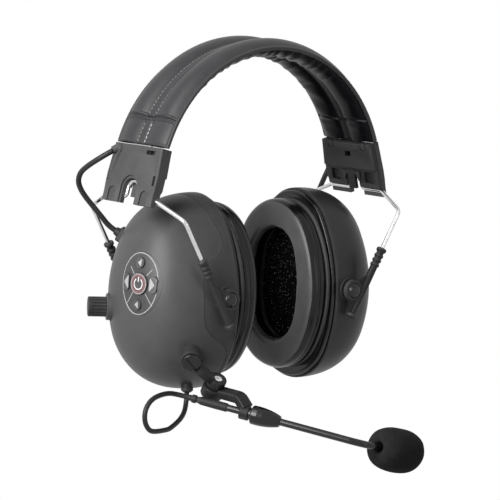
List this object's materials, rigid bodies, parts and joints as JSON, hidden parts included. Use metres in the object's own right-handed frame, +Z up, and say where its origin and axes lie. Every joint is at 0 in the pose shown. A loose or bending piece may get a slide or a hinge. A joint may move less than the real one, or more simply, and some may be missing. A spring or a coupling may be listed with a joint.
{
  "type": "aviation headset",
  "caption": "Circumaural aviation headset with a padded headband, two wire yokes, sliding ear cups, a key pad and a folding microphone boom.",
  "frame": {"origin": "midpoint between the two ear cushions at the height of the cup pivots", "axes": "+Z up over the head, -Y the wearer's front, -X the cup that carries the microphone"},
  "size_m": [0.1947, 0.1729, 0.2385],
  "materials": {
    "leatherette": "smooth black leatherette",
    "leatherette_pad": "soft black leatherette",
    "soft_black": "soft-touch black plastic",
    "shell_black": "satin black plastic",
    "gloss_black": "gloss black plastic",
    "steel_wire": "bright drawn steel",
    "steel_screw": "bright plated steel",
    "rubber_black": "black rubber",
    "foam": "open-cell acoustic foam",
    "speckled_foam": "speckled foam liner",
    "button_black": "black silicone key",
    "board_green": "circuit board",
    "cell_grey": "battery can",
    "cable_black": "cable jacket"
  },
  "bodies": {
    "headband": {"headband_cover": "leatherette", "headband_pad": "leatherette_pad", "headband_spring": "steel_wire", "cross_cable_band": "cable_black", "block_outer_right": "soft_black", "block_outer_left": "soft_black", "block_inner_right": "soft_black", "block_inner_left": "soft_black", "yoke_wire_right": "steel_wire", "yoke_wire_left": "steel_wire", "cross_cable_left_upper": "cable_black", "cross_cable_right_upper": "cable_black"},
    "sliders_right": {"slider_right_front": "shell_black", "slider_right_rear": "shell_black", "cross_cable_right_lower": "cable_black"},
    "sliders_left": {"slider_left_front": "shell_black", "slider_left_rear": "shell_black", "cross_cable_left_lower": "cable_black"},
    "cup_right": {"shell_right": "shell_black", "rim_right": "gloss_black", "cushion_right": "leatherette_pad", "cushion_plate_right": "soft_black", "liner_right": "speckled_foam", "speaker_right": "shell_black", "pivot_caps_right": "gloss_black", "cable_gland_right": "rubber_black"},
    "cup_left": {"dome_left": "shell_black", "base_shell_left": "soft_black", "rim_left": "gloss_black", "cushion_left": "leatherette_pad", "cushion_plate_left": "soft_black", "liner_left": "speckled_foam", "speaker_left": "shell_black", "circuit_board": "board_green", "battery": "cell_grey", "keypad_plate": "gloss_black", "pivot_caps_left": "gloss_black", "cable_gland_left": "rubber_black", "mic_socket": "rubber_black", "boom_port": "rubber_black", "port_cap": "gloss_black", "knob_collar": "shell_black", "mic_cable_socket": "cable_black"},
    "volume_knob": {"volume_knob": "rubber_black"},
    "boom_bracket": {"boom_bracket": "soft_black", "boom_screw": "steel_screw", "mic_cable_bracket": "cable_black"},
    "boom_arm": {"boom_arm": "soft_black", "boom_collar": "gloss_black", "mic_cable_arm": "cable_black"},
    "boom": {"boom_tube": "gloss_black", "tail_sleeve": "rubber_black", "boom_relief": "rubber_black", "mic_capsule": "shell_black", "windscreen": "foam"},
    "power_button": {"power_button": "button_black"},
    "button_up": {"button_up": "button_black"},
    "button_down": {"button_down": "button_black"},
    "button_rear": {"button_rear": "button_black"},
    "button_front": {"button_front": "button_black"}
  },
  "joints": [
    {"name": "slide_right", "type": "slide", "parent": "headband", "child": "sliders_right", "axis": [0.5, 0, 0.866], "range_m": [-0.02, 0.008], "deforming": ["cross_cable_right_upper", "cross_cable_right_lower"]},
    {"name": "slide_left", "type": "slide", "parent": "headband", "child": "sliders_left", "axis": [-0.5, 0, 0.866], "range_m": [-0.02, 0.008], "deforming": ["cross_cable_left_upper", "cross_cable_left_lower"]},
    {"name": "tilt_right", "type": "hinge", "parent": "sliders_right", "child": "cup_right", "pos_m": [0.0465, 0, 0], "axis": [0, -1, 0], "range_deg": [-10, 10]},
    {"name": "tilt_left", "type": "hinge", "parent": "sliders_left", "child": "cup_left", "pos_m": [-0.0465, 0, 0], "axis": [0, 1, 0], "range_deg": [-10, 10]},
    {"name": "knob_turn", "type": "hinge", "parent": "cup_left", "child": "volume_knob", "pos_m": [-0.0813, 0.021, -0.0104], "axis": [-0.8486, 0.5291, 0], "range_deg": [-140, 140]},
    {"name": "boom_swing", "type": "hinge", "parent": "cup_left", "child": "boom_bracket", "pos_m": [-0.0706, -0.041, -0.0349], "axis": [-0.5502, -0.7603, -0.3452], "range_deg": [-10, 60], "deforming": ["mic_cable_socket", "mic_cable_bracket"]},
    {"name": "boom_fold", "type": "hinge", "parent": "boom_bracket", "child": "boom_arm", "pos_m": [-0.0537, -0.0443, -0.0437], "axis": [-0.0781, -0.553, 0.8295], "range_deg": [-14, 25]},
    {"name": "boom_reach", "type": "slide", "parent": "boom_arm", "child": "boom", "axis": [0.5602, -0.8103, -0.1721], "range_m": [-0.02, 0.005], "deforming": ["mic_cable_arm"]},
    {"name": "power_button_press", "type": "slide", "parent": "cup_left", "child": "power_button", "axis": [0.9903, 0.139, 0], "range_m": [0, 0.0008], "stiffness_N_per_m": 300},
    {"name": "button_up_press", "type": "slide", "parent": "cup_left", "child": "button_up", "axis": [0.9903, 0.139, 0], "range_m": [0, 0.0008], "stiffness_N_per_m": 300},
    {"name": "button_down_press", "type": "slide", "parent": "cup_left", "child": "button_down", "axis": [0.9903, 0.139, 0], "range_m": [0, 0.0008], "stiffness_N_per_m": 300},
    {"name": "button_rear_press", "type": "slide", "parent": "cup_left", "child": "button_rear", "axis": [0.9903, 0.139, 0], "range_m": [0, 0.0008], "stiffness_N_per_m": 300},
    {"name": "button_front_press", "type": "slide", "parent": "cup_left", "child": "button_front", "axis": [0.9903, 0.139, 0], "range_m": [0, 0.0008], "stiffness_N_per_m": 300}
  ]
}
